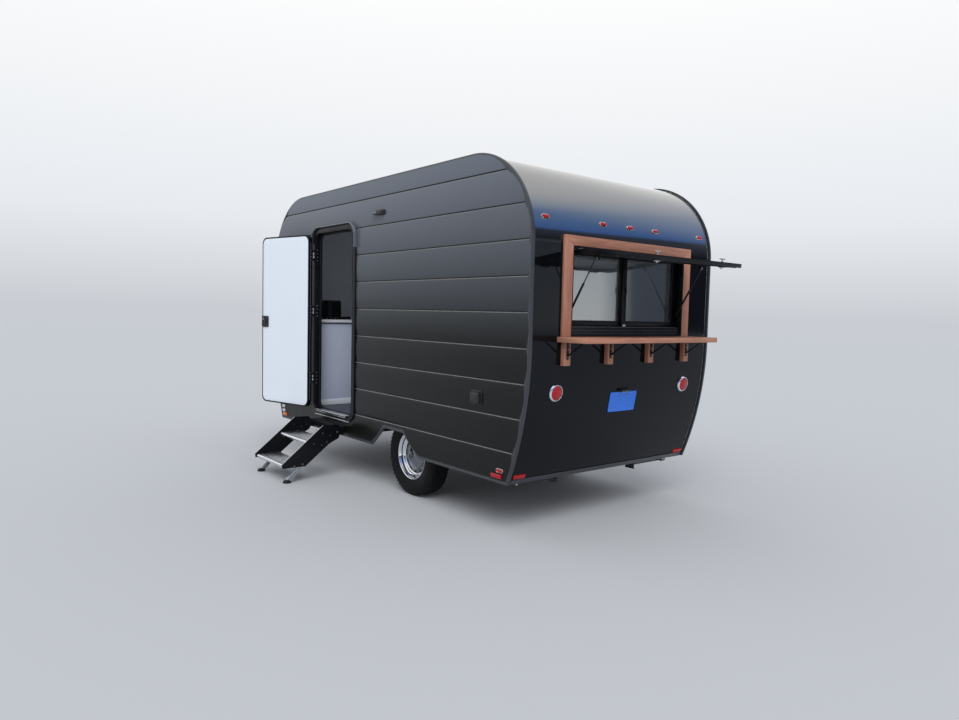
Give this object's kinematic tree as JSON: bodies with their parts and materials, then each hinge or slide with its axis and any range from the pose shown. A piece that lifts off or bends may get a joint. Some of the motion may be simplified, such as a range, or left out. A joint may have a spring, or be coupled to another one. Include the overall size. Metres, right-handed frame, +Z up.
{
  "type": "concession trailer",
  "caption": "Rounded single-axle towed kiosk with plank sides, a rear serving hatch over a wooden shelf, an open side door and a fold-out step.",
  "frame": {"origin": "centre of the tow ball socket in the coupler", "axes": "+X forward towards the towing vehicle, +Y to the left (door side), +Z up"},
  "size_m": [5.9333, 2.722, 2.744],
  "materials": {
    "side_plank": "charcoal satin paint on plank siding",
    "moulding": "dark grey satin",
    "skin_black": "gloss black sheet",
    "floor_board": "dark vinyl over board",
    "well_sheet": "black",
    "chassis": "black chassis paint",
    "galvanised": "zinc plated",
    "tyre": "black rubber",
    "wheel_chrome": "bright chrome",
    "door_black": "satin black",
    "door_white": "white sheet",
    "sill_metal": "mill finish",
    "step_black": "black powder coat",
    "step_tread": "ribbed",
    "window_black": "satin black",
    "pane": "clear",
    "board_wood": "red brown stained cedar",
    "hatch_black": "gloss black",
    "strut_rod": "bright rod",
    "lamp_red": "red lens in a bright bezel",
    "plate_blue": "plain blue",
    "inlet": "black",
    "cabinet": "pale grey-blue laminate",
    "counter": "pale laminate",
    "appliance": "black"
  },
  "bodies": {
    "trailer": {"side_wall_left": "side_plank", "side_wall_right": "side_plank", "moulding_left": "moulding", "moulding_right": "moulding", "end_trims": "moulding", "rear_wall": "skin_black", "front_wall": "skin_black", "roof": "skin_black", "floor": "floor_board", "wheel_wells": "well_sheet", "rails": "chassis", "crossmembers": "chassis", "tongue": "chassis", "coupler": "chassis", "tongue_jack": "chassis", "axle": "chassis", "door_frame": "door_black", "door_sill": "sill_metal", "step_bracket": "step_black", "window_frame": "window_black", "window_sashes": "window_black", "window_glass": "pane", "wood_surround": "board_wood", "shelf": "board_wood", "shelf_blocks": "board_wood", "shelf_brackets": "door_black", "hatch_hinge": "window_black", "tail_lamps": "lamp_red", "clearance_lamps": "lamp_red", "number_plate": "plate_blue", "side_markers": "lamp_red", "inlet_box": "inlet", "porch_lamp": "inlet", "stabilizer_mounts": "chassis", "cabinet": "cabinet", "counter_top": "counter", "appliance": "appliance"},
    "wheel_left": {"tyre_left": "tyre", "wheel_left": "wheel_chrome"},
    "wheel_right": {"tyre_right": "tyre", "wheel_right": "wheel_chrome"},
    "door": {"door_leaf": "door_black", "door_liner": "door_white", "door_latch": "inlet", "door_inner_latch": "inlet"},
    "hatch": {"hatch": "hatch_black"},
    "strut_cylinder_left": {"strut_cylinder_left": "window_black"},
    "strut_cylinder_right": {"strut_cylinder_right": "window_black"},
    "strut_rod_left": {"strut_rod_left": "strut_rod"},
    "strut_rod_right": {"strut_rod_right": "strut_rod"},
    "step": {"step_plates": "step_black", "step_treads": "step_tread", "step_legs": "galvanised"},
    "jack_leg": {"jack_leg": "galvanised"},
    "stabilizer_left": {"stabilizer_left": "chassis"},
    "stabilizer_right": {"stabilizer_right": "chassis"}
  },
  "joints": [
    {"name": "wheel_left_spin", "type": "hinge", "parent": "trailer", "child": "wheel_left", "pos_m": [-3.775, 0.84, -0.126], "axis": [0, 1, 0], "continuous": true},
    {"name": "wheel_right_spin", "type": "hinge", "parent": "trailer", "child": "wheel_right", "pos_m": [-3.775, -0.84, -0.126], "axis": [0, 1, 0], "continuous": true},
    {"name": "door_swing", "type": "hinge", "parent": "trailer", "child": "door", "pos_m": [-2.15, 1.055, 0.991], "axis": [0, 0, 1], "range_deg": [0, 165.4]},
    {"name": "hatch_swing", "type": "hinge", "parent": "trailer", "child": "hatch", "pos_m": [-5.366, 0, 1.575], "axis": [0, 1, 0], "range_deg": [-84, 0]},
    {"name": "strut_left_pivot", "type": "hinge", "parent": "trailer", "child": "strut_cylinder_left", "pos_m": [-5.312, 0.621, 1.13], "axis": [0, 1, 0], "range_deg": [0, 31.4]},
    {"name": "strut_left_slide", "type": "slide", "parent": "strut_cylinder_left", "child": "strut_rod_left", "axis": [-0.521, 0, 0.8535], "range_m": [-0.17139, 0]},
    {"name": "strut_right_pivot", "type": "hinge", "parent": "trailer", "child": "strut_cylinder_right", "pos_m": [-5.312, -0.621, 1.13], "axis": [0, 1, 0], "range_deg": [0, 31.4]},
    {"name": "strut_right_slide", "type": "slide", "parent": "strut_cylinder_right", "child": "strut_rod_right", "axis": [-0.521, 0, 0.8535], "range_m": [-0.17139, 0]},
    {"name": "step_fold", "type": "hinge", "parent": "trailer", "child": "step", "pos_m": [-2.5, 1.125, -0.04], "axis": [1, 0, 0], "range_deg": [0, 80]},
    {"name": "jack_slide", "type": "slide", "parent": "trailer", "child": "jack_leg", "axis": [0, 0, 1], "range_m": [0, 0.27]},
    {"name": "stabilizer_left_drop", "type": "hinge", "parent": "trailer", "child": "stabilizer_left", "pos_m": [-5.02684, 0.86, -0.125], "axis": [1, 0, 0], "range_deg": [0, 50]},
    {"name": "stabilizer_right_drop", "type": "hinge", "parent": "trailer", "child": "stabilizer_right", "pos_m": [-5.02684, -0.86, -0.125], "axis": [-1, 0, 0], "range_deg": [0, 50]}
  ],
  "couplings": [
    {"joint": "strut_left_pivot", "follows": "hatch_swing", "ratio": -0.37382},
    {"joint": "strut_left_slide", "follows": "hatch_swing", "m_per_rad": 0.11691},
    {"joint": "strut_right_pivot", "follows": "hatch_swing", "ratio": -0.37382},
    {"joint": "strut_right_slide", "follows": "hatch_swing", "m_per_rad": 0.11691}
  ]
}
